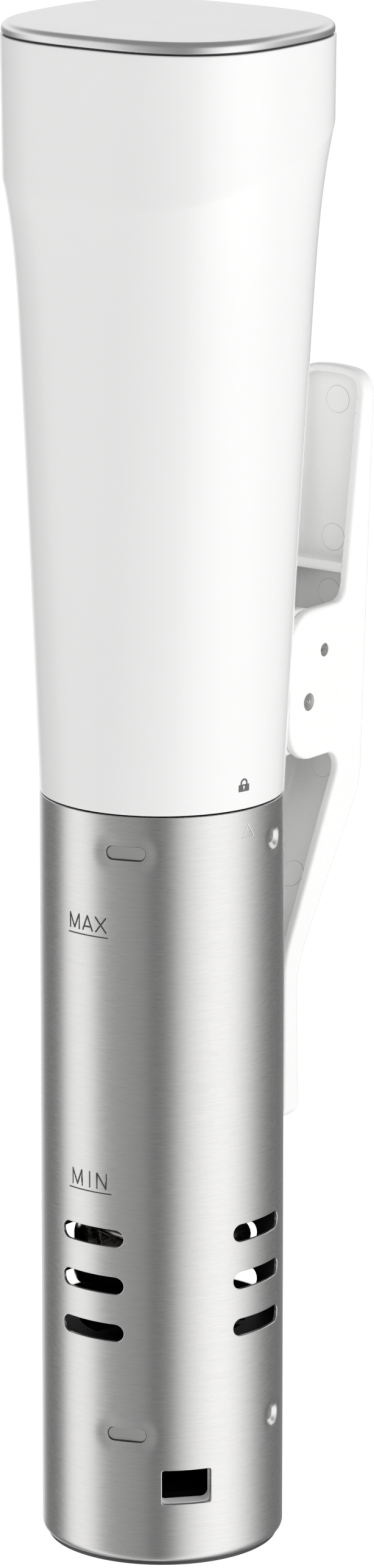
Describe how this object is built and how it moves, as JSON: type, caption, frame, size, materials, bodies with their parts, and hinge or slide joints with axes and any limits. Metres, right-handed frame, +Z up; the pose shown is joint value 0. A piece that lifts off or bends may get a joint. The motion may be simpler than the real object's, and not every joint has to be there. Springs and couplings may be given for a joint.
{
  "type": "sous vide circulator",
  "caption": "Upright immersion circulator: flared white head with metal lid, slotted brushed-steel sleeve on a bayonet collar, and a sprung clip at the back for a pot rim.",
  "frame": {"origin": "centre of the flat base, on the axis of the round sleeve", "axes": "+Z up along the sleeve's axis; -Y is the front, where the display is; +Y is the back, where the pot clip and the cord gland are; +X is to the viewer's right from the front"},
  "size_m": [0.0692, 0.0983, 0.3484],
  "materials": {
    "white_plastic": "glossy, moulded",
    "lid_aluminium": "bead-blasted top, satin edge",
    "black_rubber": "matte",
    "diffuser": "translucent white",
    "circuit_board": "solder mask",
    "dark_parts": "matte",
    "components": "shrink sleeve",
    "dark_plastic": "fine texture",
    "black_plastic": "satin black, moulded",
    "natural_plastic": "natural acetal",
    "plated_steel": "zinc plated",
    "motor_steel": "plated can",
    "turned_steel": "turned",
    "coupling_aluminium": "machined",
    "bronze": "sintered",
    "brass_terminals": "tinned brass",
    "heater_steel": "annealed, slightly heat-tinted",
    "brushed_stainless": "brushed round the axis",
    "spring_steel": "oil-tempered wire",
    "grey_rubber": "matte silicone"
  },
  "bodies": {
    "body": {"housing": "white_plastic", "top_lid": "lid_aluminium", "lid_gasket": "black_rubber", "cord_gland": "black_rubber", "display_window": "diffuser", "display_board": "circuit_board", "display_module": "dark_parts", "power_board": "circuit_board", "power_components": "components", "chassis": "dark_plastic", "chassis_screws": "plated_steel", "motor": "motor_steel", "motor_screws": "plated_steel", "shaft_seal": "black_rubber", "shaft_tube": "turned_steel", "shaft_bush": "bronze", "bayonet_collar": "black_plastic", "collar_screws": "plated_steel", "housing_seal": "black_rubber", "heater_coil": "heater_steel", "heater_terminals": "brass_terminals", "temperature_probe": "turned_steel", "level_electrodes": "turned_steel", "pump_housing": "black_plastic", "outlet_nozzle": "white_plastic", "clip_bracket": "white_plastic", "bracket_screws": "plated_steel", "torsion_spring": "spring_steel"},
    "rotor": {"motor_shaft": "turned_steel", "cooling_fan": "dark_plastic", "shaft_coupling": "coupling_aluminium", "drive_shaft": "turned_steel", "impeller": "natural_plastic"},
    "sleeve_unit": {"sleeve": "brushed_stainless", "base_cap": "black_plastic"},
    "lever": {"clip_lever": "white_plastic", "pivot_pin": "turned_steel", "spring_pin": "turned_steel", "jaw_pad": "grey_rubber"}
  },
  "joints": [
    {"name": "clip_lever_pivot", "type": "hinge", "parent": "body", "child": "lever", "pos_m": [0, 0.043, 0.1882], "axis": [1, 0, 0], "range_deg": [0, 18], "stiffness_Nm_per_rad": 1.2, "springref_deg": -20.05, "deforming": ["torsion_spring"]},
    {"name": "pump_shaft_spin", "type": "hinge", "parent": "body", "child": "rotor", "pos_m": [0, 0, 0.1], "axis": [0, 0, 1], "continuous": true},
    {"name": "sleeve_twist", "type": "hinge", "parent": "body", "child": "sleeve_unit", "pos_m": [0, 0, 0.0875], "axis": [0, 0, 1], "range_deg": [0, 22]}
  ]
}
